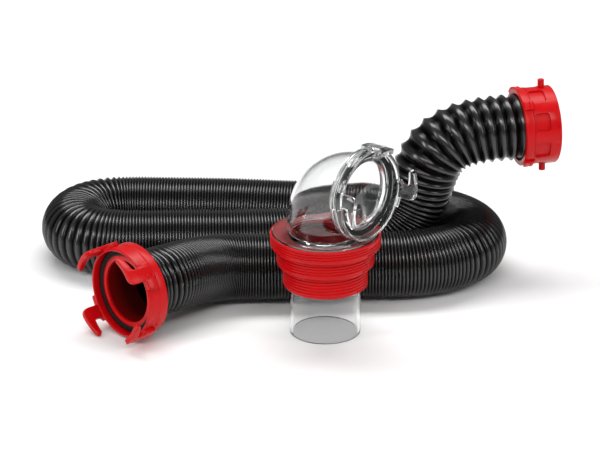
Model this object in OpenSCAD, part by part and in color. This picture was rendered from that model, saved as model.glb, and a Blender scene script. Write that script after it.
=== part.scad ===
// Sewer hose kit for a caravan: a ribbed three inch hose that lies folded in
// three runs, with a hooked swivel fitting on one end and a pinned swivel
// collar on the other, and a clear elbow on a stepped threaded adapter that
// stands beside it. Millimetres, +Z up.

/* [Hose] */
// Radius over the crests of the hose ribs
hose_r = 37; // [30:0.5:37]
// Thickness of the hose wall with its ribs
hose_wall = 2.4; // [1.6:0.1:3.5]
// Radial clearance between the hose and the sleeve it is screwed into
hose_fit = 0.3; // [0.2:0.05:0.5]
// Length of hose end that the inlet sleeve covers
hose_grip = 11.5; // [8:0.5:16]

/* [Swivel seats] */
// Wall of a sleeve around its hose end
sleeve_wall = 3.7; // [2.5:0.1:5]
// Height of the sleeve flange that the swivel ring hangs on
flange_h = 4.2; // [3:0.1:6]
// Thickness of the sleeve flange
flange_t = 1.5; // [1.2:0.1:3]
// Thickness of the sealing gasket
gasket_t = 2.0; // [1.5:0.1:3]
// Length of the bore in a sleeve's front lip
lip_t = 3.9; // [3.8:0.1:6]
// Thickness of the web inside a swivel ring
web_t = 2.0; // [1.5:0.1:3]
// Thickness of a snap ring
snap_t = 1.5; // [1:0.1:2.5]
// Height that a snap ring stands out of its seat
snap_h = 3.4; // [2.4:0.1:4]
// Running gap at every face that turns
play = 0.3; // [0.25:0.05:0.5]
// Radial gap between a turning part and its seat
ring_play = 0.4; // [0.35:0.05:0.6]

/* [Hooked rings] */
// Depth of the socket in front of the gasket
socket_depth = 8.4; // [6:0.1:12]
// Radial gap around the gasket inside the socket
socket_gap = 1.1; // [0.5:0.1:2]
// Wall of a hooked ring
ring_wall = 3.0; // [2:0.1:4]
// Length of the inlet ring
inlet_ring_len = 25; // [18:0.5:30]
// Length of the short ring on the elbow
elbow_ring_len = 15; // [14.8:0.1:16]
// Radial thickness of a hook
hook_t = 4.7; // [3.5:0.1:6]
// Distance that the hooks stand in front of the rim
hook_reach = 20; // [16:0.5:24]
// Width of the slot between rim and hook arm
hook_slot = 10.5; // [9:0.1:12]
// Angle of one hook arm from its heel to its tip
hook_sweep = 39; // [30:1:45]

/* [Pinned collar] */
// Length of the collar
collar_len = 40.4; // [36:0.2:48]
// Radial play of the collar in a socket
collar_play = 2.8; // [1:0.1:4]
// Radius of a locking pin
pin_r = 3.7; // [3:0.1:4.5]
// Distance of the pins behind the collar's front face
pin_back = 11.5; // [9:0.1:13]
// Distance that the pins reach past the wall of a hooked ring
pin_catch = 3.5; // [2:0.1:4.5]
// Length of the snap band at the back of the collar
band_len = 10; // [8:0.5:12]
// Depth of the grip pockets in the collar
pocket_depth = 1.8; // [1:0.1:2.4]

/* [Elbow] */
// Step in radius from the swivel seat down to the neck
neck_step = 2.0; // [1.4:0.1:2.6]
// Taper in radius from the neck down to the slip spigot
spigot_taper = 0.9; // [0.2:0.1:1.4]
// Wall of the clear elbow
elbow_wall = 3; // [2:0.1:4]
// Radius of the elbow's bend at its centre line
bend_r = 45; // [43:0.5:60]
// Extra radius of the bend over the neck
bend_bulge = 2.5; // [0:0.5:3]
// Straight length between the bend and the elbow's front lip
elbow_straight = 8; // [8:0.5:12]
// Wall of the adapter's rim around the clear flange
disc_rim = 1.8; // [1.2:0.1:2.4]
// Thickness of the clear flange
disc_t = 3; // [2:0.1:4]
// Straight neck above the flange, at the least
sweep_gap = 1; // [1:0.5:6]

/* [Adapter] */
// Length of spigot below the adapter
spigot_len = 54; // [40:1:70]
// Height of the lowest and smallest thread
step3_h = 25; // [18:1:32]
// Height of the middle thread
step2_h = 20; // [14:1:26]
// Height of the top thread
step1_h = 15; // [14:1:20]
// Crest radius of the lowest thread
step3_r = 45.6; // [44.5:0.1:48]
// Crest radius of the middle thread
step2_r = 52.5; // [50:0.1:55]
// Crest radius of the top thread
step1_r = 59; // [58.5:0.1:64]
// Pitch of the threads
thread_pitch = 3.3; // [2.5:0.1:4]
// Depth of the threads
thread_depth = 1.1; // [0.6:0.1:1.4]
// Wall of the adapter behind its threads
adapter_wall = 2.2; // [1.8:0.1:3]

/* [Hidden] */
$fn = 96;

red = "firebrick";
black = "dimgray";
clear = "lightcyan";

// Radii of the swivel seat, from the hose outward
socket_hose_r = hose_r + hose_fit;
bore_r = hose_r - hose_wall;
seat_r = socket_hose_r + sleeve_wall;
flange_r = seat_r + flange_h;
socket_r = flange_r + socket_gap;
ring_r = socket_r + ring_wall;
hook_r = ring_r + hook_t;
groove_d = 0.8;
skin = 0.05;
relief_r = socket_r + 1;
relief_lead = 0.6;

// Stations of the swivel seat, measured back from the rim
gasket_s = socket_depth;
flange_s = gasket_s + gasket_t;
web_s = flange_s + flange_t + play;
snap_s = web_s + web_t + play;
lip_end_s = gasket_s + lip_t;
seal_t = 1;
seal_setback = 0.4;
hose_in_s = lip_end_s + seal_t;
inlet_sleeve_end = lip_end_s + hose_grip;

// Rear band of the inlet ring
rear_band_h = 0.7;
rear_band_s = 14;
edge = 0.8;
neck_r = seat_r - neck_step;
spigot_r = neck_r - spigot_taper;
disc_r = step1_r - disc_rim - ring_play;

// Collar
collar_r = socket_r - collar_play;
pin_tip_r = ring_r + pin_catch;
collar_nose = 11.7;
outlet_flange_t = 2.8;
outlet_seat_r = socket_hose_r + sleeve_wall - 0.8;
outlet_shoulder = collar_nose + play + outlet_flange_t;
band_step = 1;
band_lip_t = 2;
sleeve_end_s = collar_len - band_lip_t - play;
pocket_count = 8;
pocket_turn = 21;
pocket_angle = 27;
pocket_front = 12.4;
pin_turn = 86;
tab_turns = [48, 130, 228, 310];
tab_angle = 13;
tab_h = 3.3;

// Adapter and elbow heights
adapter_top = spigot_len + step3_h + step2_h + step1_h;
adapter_rim = 1.8;
web_top = adapter_top - adapter_rim;
disc_z = web_top + play;
disc_top = disc_z + disc_t;
neck_flare = 8;
axis_z = disc_top + sweep_gap + max(hook_r, bend_r + neck_flare);
bend_z = axis_z - bend_r;
adapter_web_t = 3;
floor_t = 3;
plain_rim = 2.4;
elbow_bore = neck_r - elbow_wall;
bend_out = neck_r + bend_bulge;
bend_bore = bend_out - elbow_wall;
spigot_bore = spigot_r - elbow_wall;
spigot_straight = 30;
o_ring_space = step3_r - thread_depth - adapter_wall - neck_r;
o_ring_d = o_ring_space - 0.5;
elbow_rim = bend_r + elbow_straight + gasket_s;

// Where each fitting stands: centre of its rim, heading and pitch
inlet_pos = [-215, -92, hook_r - 2.6];
inlet_yaw = 222;
outlet_pos = [257, 122, 165.7];
outlet_yaw = 12;
outlet_pitch = 1.5;
elbow_pos = [3, -72, 0];
elbow_yaw = -40;

// Route of the hose: control points of its centre line between the fittings
route = [
    [-168, -50, 50.5], [-142, -16, 44], [-109, 12, 38.5], [-66, 13, 37.2],
    [-23, 15, 37.2], [19, 22, 37.2], [62, 21, 37.2], [104, 22, 37.2],
    [146, 40, 37.2], [174, 74, 37.2], [171, 119, 37.2], [139, 153, 37.2],
    [100, 169, 37.2], [57, 173, 37.2], [14, 173, 37.2], [-28, 177, 37.2],
    [-71, 181, 37.2], [-113, 186, 37.2], [-156, 187, 37.2], [-199, 189, 37.2],
    [-244, 190, 37.2], [-280, 165, 37.2], [-284, 117, 37.2], [-253, 85, 37.2],
    [-207, 84, 37.2], [-165, 86, 37.2], [-123, 86, 37.2], [-80, 87, 37.2],
    [-37, 90, 37.2], [5, 96, 37.2], [51, 99, 37.2], [88, 94, 52.5],
    [110, 98, 92], [118, 95, 136.5], [149, 101, 161], [194, 109, 165]];
end_leg = 20;
hose_sides = 12;
rings_per_leg = 2;

function heading(yaw, pitch) = [cos(yaw) * cos(pitch), sin(yaw) * cos(pitch), sin(pitch)];
function behind(pos, yaw, pitch, back) = pos - back * heading(yaw, pitch);
function unit(v) = v / norm(v);

// Point of a cubic B-spline on leg i of the control points p, at t from 0 to 1
function leg_point(p, i, t) =
    let (
        b = p[i],
        c = p[i + 1],
        a = i > 0 ? p[i - 1] : 2 * b - c,
        d = i < len(p) - 2 ? p[i + 2] : 2 * c - b,
        s = 1 - t
    )
    (s * s * s * a + (3 * t * t * t - 6 * t * t + 4) * b
        + (3 * s * s * s - 6 * s * s + 4) * c + t * t * t * d) / 6;

function centre_line(p, steps) = concat(
    [for (i = [0:len(p) - 2], k = [0:steps - 1]) leg_point(p, i, k / steps)],
    [p[len(p) - 1]]);

function tangents(c, first, last) = [for (i = [0:len(c) - 1])
    i == 0 ? first : i == len(c) - 1 ? last : unit(c[i + 1] - c[i - 1])];

// Side vectors carried along the line without twisting
function carried(t) = [for (
    i = 0, u = unit(cross(t[0], [0, 0, 1]));
    i < len(t);
    i = i + 1, u = i < len(t) ? unit(u - (u * t[i]) * t[i]) : u) u];

function ring_at(c, t, u, r, sides) = [for (k = [0:sides - 1])
    let (a = 360 * k / sides) c + r * (cos(a) * u + sin(a) * cross(t, u))];

// Hollow tube swept along the points p
module swept_tube(p, r, wall, sides, steps) {
    c = centre_line(p, steps);
    t = tangents(c, unit(p[1] - p[0]), unit(p[len(p) - 1] - p[len(p) - 2]));
    u = carried(t);
    n = len(c);
    points = concat(
        [for (i = [0:n - 1]) each ring_at(c[i], t[i], u[i], r, sides)],
        [for (i = [0:n - 1]) each ring_at(c[i], t[i], u[i], r - wall, sides)]);
    inner = n * sides;
    faces = concat(
        [for (i = [0:n - 2], k = [0:sides - 1]) each wall_quad(i, k, sides, 0, false)],
        [for (i = [0:n - 2], k = [0:sides - 1]) each wall_quad(i, k, sides, inner, true)],
        [for (k = [0:sides - 1]) each end_quad(0, k, sides, inner, false)],
        [for (k = [0:sides - 1]) each end_quad((n - 1) * sides, k, sides, inner, true)]);
    polyhedron(points = points, faces = faces);
}

function turned(q, flip) = flip ? [[q[0], q[2], q[1]], [q[0], q[3], q[2]]]
    : [[q[0], q[1], q[2]], [q[0], q[2], q[3]]];

function wall_quad(i, k, sides, base, flip) =
    let (a = base + i * sides, b = a + sides, m = (k + 1) % sides)
    turned([a + k, b + k, b + m, a + m], flip);

function end_quad(a, k, sides, inner, flip) =
    let (m = (k + 1) % sides)
    turned([a + k, a + m, a + m + inner, a + k + inner], flip);

// Places a fitting that is drawn with its rim at the origin, facing +Z, with
// +Y as its top
module placed(pos, yaw, pitch = 0) {
    translate(pos) rotate([90, 0, yaw + 90]) rotate([-pitch, 0, 0]) children();
}

module at_inlet() {
    placed(inlet_pos, inlet_yaw) children();
}

module at_outlet() {
    placed(outlet_pos, outlet_yaw, outlet_pitch) children();
}

module in_elbow() {
    translate(elbow_pos) rotate([0, 0, elbow_yaw]) children();
}

// The elbow's rim, in the elbow's own frame with its outlet along +X
module at_elbow_rim() {
    in_elbow() placed([elbow_rim, 0, axis_z], 0) children();
}

// Snap ring with a gap, its front face at station s
module snap_ring(r, s) {
    translate([0, 0, -s - snap_t])
        rotate([0, 0, 105]) rotate_extrude(angle = 330)
            translate([r - groove_d + skin, 0]) square([snap_h + groove_d - skin, snap_t]);
}

// Outline of a swivel seat: lip, gasket step, flange and snap ring groove
function seat_outline(inner, end) = [
    [bore_r, -gasket_s],
    [seat_r, -gasket_s],
    [seat_r, -flange_s],
    [flange_r, -flange_s],
    [flange_r, -flange_s - flange_t],
    [seat_r, -flange_s - flange_t],
    [seat_r, -snap_s],
    [seat_r - groove_d, -snap_s],
    [seat_r - groove_d, -snap_s - snap_t],
    [seat_r, -snap_s - snap_t],
    [seat_r, -end],
    [inner, -end],
    [inner, -lip_end_s],
    [bore_r, -lip_end_s]];

module face_gasket() {
    gasket_in = seat_r + skin;
    gasket_out = flange_r;
    translate([0, 0, -flange_s + skin])
        rotate_extrude() difference() {
            translate([gasket_in, 0]) square([gasket_out - gasket_in, gasket_t - skin]);
            translate([(gasket_in + gasket_out) / 2, gasket_t]) circle(r = 0.7, $fn = 24);
        }
}

// Swivel ring with its inner web; band is the extra height of its rear part
module hooked_ring(length, band) {
    rotate_extrude() polygon([
        [socket_r, -edge / 2], [socket_r + edge / 2, 0], [ring_r - edge, 0], [ring_r, -edge],
        [ring_r, -min(rear_band_s, length - edge)],
        [ring_r + band, -min(rear_band_s, length - edge) - band],
        [ring_r + band, -length + edge], [ring_r + band - edge, -length],
        [relief_r, -length], [relief_r, -web_s - web_t],
        [seat_r + ring_play, -web_s - web_t], [seat_r + ring_play, -web_s],
        [relief_r, -web_s], [relief_r, -gasket_s + relief_lead],
        [socket_r, -gasket_s + relief_lead]]);
}

function arc(x, y, r, from, to, steps) = [for (k = [0:steps])
    let (a = from + (to - from) * k / steps) [x + r * cos(a), y + r * sin(a)]];

// Flat outline of one hook: x runs along the rim, y in front of it
heel_x = -17;
heel_w = 15;
tip_x = 18;
heel_round = 8;
tip_round = 3.1;
slot_round = 3;
arm_slope = 2.1;
pad_len = 10.5;
pad_back = 13;

module hook_outline() {
    heel_in = heel_x + heel_w;
    pad_round = 2;
    polygon(concat(
        [[heel_x - pad_len, -pad_back]],
        arc(heel_x - pad_len + pad_round, -pad_round, pad_round, 180, 90, 4),
        [[heel_x - 1, 0], [heel_x, 1]],
        arc(heel_x + heel_round, hook_reach - heel_round, heel_round, 180, 90, 8),
        arc(tip_x - tip_round, hook_slot + arm_slope + tip_round, tip_round, 90, -90, 10),
        arc(heel_in + slot_round, hook_slot - slot_round, slot_round, 90, 180, 4),
        arc(heel_in + slot_round, slot_round, slot_round, 180, 270, 4),
        [[heel_in + slot_round + 0.8, 0], [heel_in + slot_round + 0.8, -pad_back]]));
}

// One hook, bent round the ring; the middle of its arm is at the angle given
module hook(middle) {
    intersection() {
        difference() {
            translate([0, 0, -pad_back - 1]) cylinder(r = hook_r, h = pad_back + hook_reach + 2);
            translate([0, 0, -pad_back - 2])
                cylinder(r = ring_r + skin, h = pad_back + hook_reach + 4);
        }
        rotate([0, 0, middle]) rotate([90, 0, 90]) linear_extrude(height = hook_r + 5)
            scale([hook_sweep / 39, 1]) hook_outline();
    }
}

module hooks(first, which) {
    for (k = which) hook(first + 90 * k);
}

module hose() {
    out_s = outlet_shoulder + seal_t;
    points = concat(
        [behind(inlet_pos, inlet_yaw, 0, hose_in_s),
            behind(inlet_pos, inlet_yaw, 0, hose_in_s + end_leg)],
        route,
        [behind(outlet_pos, outlet_yaw, outlet_pitch, out_s + end_leg),
            behind(outlet_pos, outlet_yaw, outlet_pitch, out_s)]);
    color(black) swept_tube(points, hose_r, hose_wall, hose_sides, rings_per_leg);
}

module inlet_sleeve() {
    color(red) at_inlet()
        rotate_extrude() polygon(seat_outline(socket_hose_r, inlet_sleeve_end));
}

module inlet_gasket() {
    color(black) at_inlet() face_gasket();
}

module hose_seal(s) {
    translate([0, 0, -s - seal_t + skin]) difference() {
        cylinder(r = socket_hose_r - skin, h = seal_t - 2 * skin);
        translate([0, 0, -1]) cylinder(r = bore_r + seal_setback, h = seal_t + 2);
    }
}

module inlet_hose_seal() {
    color(black) at_inlet() hose_seal(lip_end_s);
}

module inlet_snap_ring() {
    color(black) at_inlet() snap_ring(seat_r, snap_s);
}

module inlet_ring() {
    color(red) at_inlet() hooked_ring(inlet_ring_len, rear_band_h);
}

module inlet_hooks() {
    color(red) at_inlet() hooks(51.5, [0:3]);
}

// Sleeve inside the collar, with the flange that the collar turns on
module outlet_sleeve() {
    nose_r = bore_r + 3;
    color(red) at_outlet() rotate_extrude() polygon([
        [bore_r, 0], [nose_r - edge, 0], [nose_r, -edge],
        [nose_r, -collar_nose - play], [outlet_seat_r, -collar_nose - play],
        [outlet_seat_r, -sleeve_end_s], [socket_hose_r, -sleeve_end_s],
        [socket_hose_r, -outlet_shoulder], [bore_r, -outlet_shoulder]]);
}

module outlet_hose_seal() {
    color(black) at_outlet() hose_seal(outlet_shoulder);
}

// Grip pockets round the collar, each one a sector of a shallow groove
module pockets() {
    back = collar_len - band_len - edge;
    for (k = [0:pocket_count - 1])
        rotate([0, 0, pocket_turn + 360 / pocket_count * k - pocket_angle / 2])
            rotate_extrude(angle = pocket_angle) translate([collar_r - pocket_depth, -back])
                square([pocket_depth + 3, back - pocket_front]);
}

module lug_collar() {
    nose_bore = bore_r + 3 + ring_play;
    body_end = collar_len - band_len;
    neck_end = collar_len - band_lip_t - play;
    color(red) at_outlet() difference() {
        rotate_extrude() polygon([
            [nose_bore, 0], [collar_r - edge, 0], [collar_r, -edge],
            [collar_r, -body_end], [collar_r - band_step, -body_end],
            [collar_r - band_step, -neck_end], [outlet_seat_r + ring_play, -neck_end],
            [outlet_seat_r + ring_play, -collar_nose], [nose_bore, -collar_nose]]);
        pockets();
    }
}

module lug_pins() {
    pin_h = pin_tip_r - collar_r - skin;
    color(red) at_outlet() for (side = [0, 180])
        rotate([0, 0, pin_turn + side]) translate([collar_r + skin, 0, -pin_back])
            rotate([0, 90, 0]) rotate_extrude()
                polygon([[0, 0], [pin_r, 0], [pin_r, pin_h - edge], [pin_r - edge, pin_h], [0, pin_h]]);
}

// Band snapped on the back of the collar; its inner lip holds the sleeve
module collar_band() {
    color(red) at_outlet() rotate_extrude() polygon([
        [collar_r - band_step + skin, -collar_len + band_len - 0.4],
        [collar_r, -collar_len + band_len - 0.4],
        [collar_r, -collar_len + edge], [collar_r - edge, -collar_len],
        [socket_hose_r + 0.5, -collar_len], [socket_hose_r + 0.5, -collar_len + band_lip_t],
        [collar_r - band_step + skin, -collar_len + band_lip_t]]);
}

// Snap tab across the seam between the band and the collar
module tab() {
    s0 = collar_len - band_len - 1.8;
    rotate([0, 0, -tab_angle / 2]) rotate_extrude(angle = tab_angle)
        polygon([
            [collar_r + skin, -s0], [collar_r + tab_h / 2, -s0],
            [collar_r + tab_h, -s0 - 2], [collar_r + tab_h, -s0 - 4.6],
            [collar_r + tab_h - 1, -s0 - 5.2], [collar_r + tab_h, -s0 - 5.8],
            [collar_r + tab_h, -collar_len + 1], [collar_r + tab_h - 1, -collar_len],
            [collar_r + skin, -collar_len + edge]]);
}

module band_tabs() {
    color(red) at_outlet() for (turn = tab_turns) rotate([0, 0, turn]) tab();
}

// Clear spigot and neck, which the adapter turns on
module elbow_spigot() {
    snap_z = web_top - adapter_web_t - play - snap_t;
    color(clear) in_elbow() rotate_extrude() polygon([
        [spigot_bore, 0], [spigot_r - edge / 2, 0], [spigot_r, edge / 2],
        [spigot_r, spigot_straight], [neck_r, spigot_len - 2],
        [neck_r, snap_z], [neck_r - groove_d, snap_z], [neck_r - groove_d, snap_z + snap_t],
        [neck_r, snap_z + snap_t], [neck_r, bend_z - neck_flare], [bend_out, bend_z],
        [bend_bore, bend_z], [elbow_bore, bend_z - neck_flare],
        [elbow_bore, spigot_len - 2], [spigot_bore, spigot_straight]]);
}

// Clear flange welded round the neck, which covers the adapter
module elbow_flange() {
    color(clear) in_elbow() rotate_extrude() polygon([
        [neck_r + skin, disc_z], [disc_r - edge / 2, disc_z], [disc_r, disc_z + edge / 2],
        [disc_r, disc_top - edge], [disc_r - edge, disc_top], [neck_r + skin, disc_top]]);
}

module quarter_bend(outer, inner) {
    translate([bend_r, 0, bend_z]) rotate([90, 0, 0]) rotate([0, 0, 90])
        rotate_extrude(angle = 90) translate([bend_r, 0]) difference() {
            circle(r = outer);
            circle(r = inner);
        }
}

// Clear quarter bend with the swivel seat of its outlet
module elbow_bend() {
    color(clear) {
        in_elbow() quarter_bend(bend_out, bend_bore);
        at_elbow_rim() rotate_extrude()
            polygon(seat_outline(elbow_bore, gasket_s + elbow_straight));
    }
}

module elbow_gasket() {
    color(black) at_elbow_rim() face_gasket();
}

module elbow_snap_ring() {
    color(clear) at_elbow_rim() snap_ring(seat_r, snap_s);
}

module elbow_ring() {
    color(clear) at_elbow_rim() hooked_ring(elbow_ring_len, 0);
}

module elbow_hooks() {
    color(clear) at_elbow_rim() hooks(90, [0, 1, 3]);
}

module neck_o_ring() {
    color(black) in_elbow() translate([0, 0, spigot_len + floor_t + play])
        rotate_extrude() translate([neck_r + o_ring_d / 2 + skin, o_ring_d / 2])
            circle(r = o_ring_d / 2, $fn = 32);
}

module adapter_snap_ring() {
    color(clear) in_elbow() translate([0, 0, web_top - adapter_web_t - play])
        snap_ring(neck_r, 0);
}

// Crests and roots of one thread, from its bottom edge up
function thread_outline(r, z, h) =
    let (n = floor(h / thread_pitch))
    [for (k = [0:n - 1]) each [
        [r - thread_depth, z + k * h / n], [r, z + (k + 0.3) * h / n],
        [r, z + (k + 0.6) * h / n], [r - thread_depth, z + (k + 0.9) * h / n]]];

// Red stepped adapter with three thread sizes, turning on the neck
module thread_adapter() {
    z3 = spigot_len;
    z2 = z3 + step3_h;
    z1 = z2 + step2_h;
    top = adapter_top;
    behind_thread = thread_depth + adapter_wall;
    in3 = step3_r - behind_thread;
    in2 = step2_r - behind_thread;
    in1 = step1_r - behind_thread;
    web_in = neck_r + ring_play;
    color(red) in_elbow() rotate_extrude() polygon(concat(
        [[web_in, z3], [step3_r - 2, z3]],
        thread_outline(step3_r, z3 + 1, step3_h - 2.5),
        thread_outline(step2_r, z2, step2_h - 1.5),
        thread_outline(step1_r, z1, step1_h - plain_rim),
        [[step1_r, top - plain_rim], [step1_r, top - edge], [step1_r - edge, top],
            [disc_r + ring_play, top], [disc_r + ring_play, web_top],
            [web_in, web_top], [web_in, web_top - adapter_web_t],
            [in1, web_top - adapter_web_t], [in1, z1 + 2], [in2, z1], [in2, z2 + 2],
            [in3, z2], [in3, z3 + floor_t], [web_in, z3 + floor_t]]));
}

hose();
inlet_sleeve();
inlet_gasket();
inlet_hose_seal();
inlet_snap_ring();
inlet_ring();
inlet_hooks();
outlet_sleeve();
outlet_hose_seal();
lug_collar();
lug_pins();
collar_band();
band_tabs();
elbow_spigot();
elbow_flange();
elbow_bend();
elbow_gasket();
elbow_snap_ring();
neck_o_ring();
adapter_snap_ring();
elbow_ring();
elbow_hooks();
thread_adapter();
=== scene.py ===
from math import cos, pi, radians, sin

import bpy
import numpy as np
from mathutils import Matrix, Vector


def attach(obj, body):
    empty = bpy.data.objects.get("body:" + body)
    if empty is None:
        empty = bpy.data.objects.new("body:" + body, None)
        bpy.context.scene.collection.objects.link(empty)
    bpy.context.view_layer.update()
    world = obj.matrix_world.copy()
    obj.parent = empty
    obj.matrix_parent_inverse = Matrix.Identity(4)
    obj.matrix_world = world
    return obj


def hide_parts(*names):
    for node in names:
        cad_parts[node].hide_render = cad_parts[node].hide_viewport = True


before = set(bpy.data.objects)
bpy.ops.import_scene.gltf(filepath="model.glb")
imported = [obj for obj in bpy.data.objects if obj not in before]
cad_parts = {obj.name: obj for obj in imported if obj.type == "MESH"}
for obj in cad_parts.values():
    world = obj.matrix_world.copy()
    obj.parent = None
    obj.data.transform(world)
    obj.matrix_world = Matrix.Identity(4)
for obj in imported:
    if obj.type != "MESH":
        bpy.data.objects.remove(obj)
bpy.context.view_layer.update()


# ---------------------------------------------------------------------------
# Camera.
camera_data = bpy.data.cameras.new("camera")
camera_data.lens = 168
camera_data.sensor_width = 36
camera_data.clip_end = 20
camera = bpy.data.objects.new("camera", camera_data)
camera.location = (-0.024, -2.8247, 1.2338)
camera.rotation_euler = (radians(68), 0, 0)
bpy.context.scene.collection.objects.link(camera)
bpy.context.scene.camera = camera


# ---------------------------------------------------------------------------
# Hose. A thin black vinyl wall with a spring wire moulded in as a helix. It
# closes up on the inside of a bend and opens on the outside, and it lies in
# three runs on the ground before it climbs to the pinned fitting.
# ---------------------------------------------------------------------------
INLET_AT, INLET_YAW = Vector((-0.215, -0.092, 0.0514)), 222
OUTLET_AT, OUTLET_YAW, OUTLET_PITCH = Vector((0.257, 0.122, 0.1657)), 12, 1.5
INLET_HOSE_END = 0.0133
OUTLET_HOSE_END = 0.0158
END_LEG, EXIT_DROP = 0.020, 0.008
CLOSED_PITCH, SHUT_PITCH, OPEN_PITCH = 0.0034, 0.0018, 0.0115
PITCH_FADE, TIGHTEST = 0.010, 0.12
PLEAT_DEPTH, WALL_UNDER = 0.0042, 0.0004
RIB_STEPS, WALL_ROWS, HOSE_SIDES, LEG_STEPS, PATH_EVERY = 4, 240, 48, 24, 6
CLOSED_SHAPE = np.array([1.0, 0.45, 0.0, 0.45])
OPEN_SHAPE = np.array([1.0, 0.32, 0.0, 0.32])
PULLED_OPEN = [
    (0.030, 0.046, 0.008), (0.060, 0.068, 0.006), (0.395, 0.413, 0.008), (0.440, 0.448, 0.007),
    (0.500, 0.510, 0.007), (0.900, 0.922, 0.008), (0.950, 0.965, 0.007), (1.010, 1.022, 0.008),
    (1.405, 1.445, 0.0075), (1.445, 1.600, 0.0118)]
HOSE_ROUTE = [
    (-0.168, -0.050, 0.0505), (-0.142, -0.016, 0.044), (-0.109, 0.012, 0.0385),
    (-0.066, 0.013, 0.0372), (-0.023, 0.015, 0.0372), (0.019, 0.022, 0.0372),
    (0.062, 0.021, 0.0372), (0.104, 0.022, 0.0372), (0.146, 0.040, 0.0372),
    (0.174, 0.074, 0.0372), (0.171, 0.119, 0.0372), (0.139, 0.153, 0.0372),
    (0.100, 0.169, 0.0372), (0.057, 0.173, 0.0372), (0.014, 0.173, 0.0372),
    (-0.028, 0.177, 0.0372), (-0.071, 0.181, 0.0372), (-0.113, 0.186, 0.0372),
    (-0.156, 0.187, 0.0372), (-0.199, 0.189, 0.0372), (-0.244, 0.190, 0.0372),
    (-0.280, 0.165, 0.0372), (-0.284, 0.117, 0.0372), (-0.253, 0.085, 0.0372),
    (-0.207, 0.084, 0.0372), (-0.165, 0.086, 0.0372), (-0.123, 0.086, 0.0372),
    (-0.080, 0.087, 0.0372), (-0.037, 0.090, 0.0372), (0.005, 0.096, 0.0372),
    (0.051, 0.099, 0.0372), (0.088, 0.094, 0.0525), (0.110, 0.098, 0.092),
    (0.118, 0.095, 0.1365), (0.149, 0.101, 0.161), (0.194, 0.109, 0.165)]


def heading(yaw, pitch=0):
    """The direction of a fitting's axis, from its angles in degrees."""
    yaw, pitch = radians(yaw), radians(pitch)
    return Vector((cos(yaw) * cos(pitch), sin(yaw) * cos(pitch), sin(pitch)))


def spline(points, steps):
    """Points of a cubic B-spline that starts and ends on its end points."""
    p = np.array([tuple(q) for q in points])
    p = np.vstack([2 * p[0] - p[1], p, 2 * p[-1] - p[-2]])
    t = np.arange(steps)[:, None] / steps
    s = 1 - t
    legs = [(s**3 * p[i] + (3 * t**3 - 6 * t**2 + 4) * p[i + 1]
             + (3 * s**3 - 6 * s**2 + 4) * p[i + 2] + t**3 * p[i + 3]) / 6
            for i in range(len(p) - 3)]
    return np.vstack(legs + [p[-2:-1]])


def carried_frames(line):
    """Length along the line, its tangents, and side vectors that don't twist."""
    steps = np.linalg.norm(np.diff(line, axis=0), axis=1)
    along = np.concatenate([[0], np.cumsum(steps)])
    tangent = np.gradient(line, along, axis=0)
    tangent /= np.linalg.norm(tangent, axis=1)[:, None]
    side = np.empty_like(line)
    u = np.cross(tangent[0], (0, 0, 1))
    for i, t in enumerate(tangent):
        u = u - u.dot(t) * t
        u /= np.linalg.norm(u)
        side[i] = u
    return along, tangent, side


def rib_pitch(along, tangent, radius, closed, shut, opened):
    """Spacing of the ribs: never less than shut inside a bend, and pulled open in places."""
    bend = np.linalg.norm(np.gradient(tangent, along, axis=0), axis=1)
    pitch = np.maximum(closed, shut / np.maximum(1 - bend * radius, TIGHTEST))
    for start, stop, spacing in opened:
        pitch = np.where((along > start) & (along < stop), np.maximum(pitch, spacing), pitch)
    width = max(int(PITCH_FADE / (along[1] - along[0])), 1)
    window = np.hanning(2 * width + 1)
    padded = np.pad(pitch, width, mode="edge")
    return np.convolve(padded, window / window.sum(), mode="valid")


def opened_share(pitch):
    """How far the pleats are pulled open, from 0 when closed to 1."""
    return np.clip((pitch - CLOSED_PITCH) / (OPEN_PITCH - CLOSED_PITCH), 0, 1)


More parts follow.
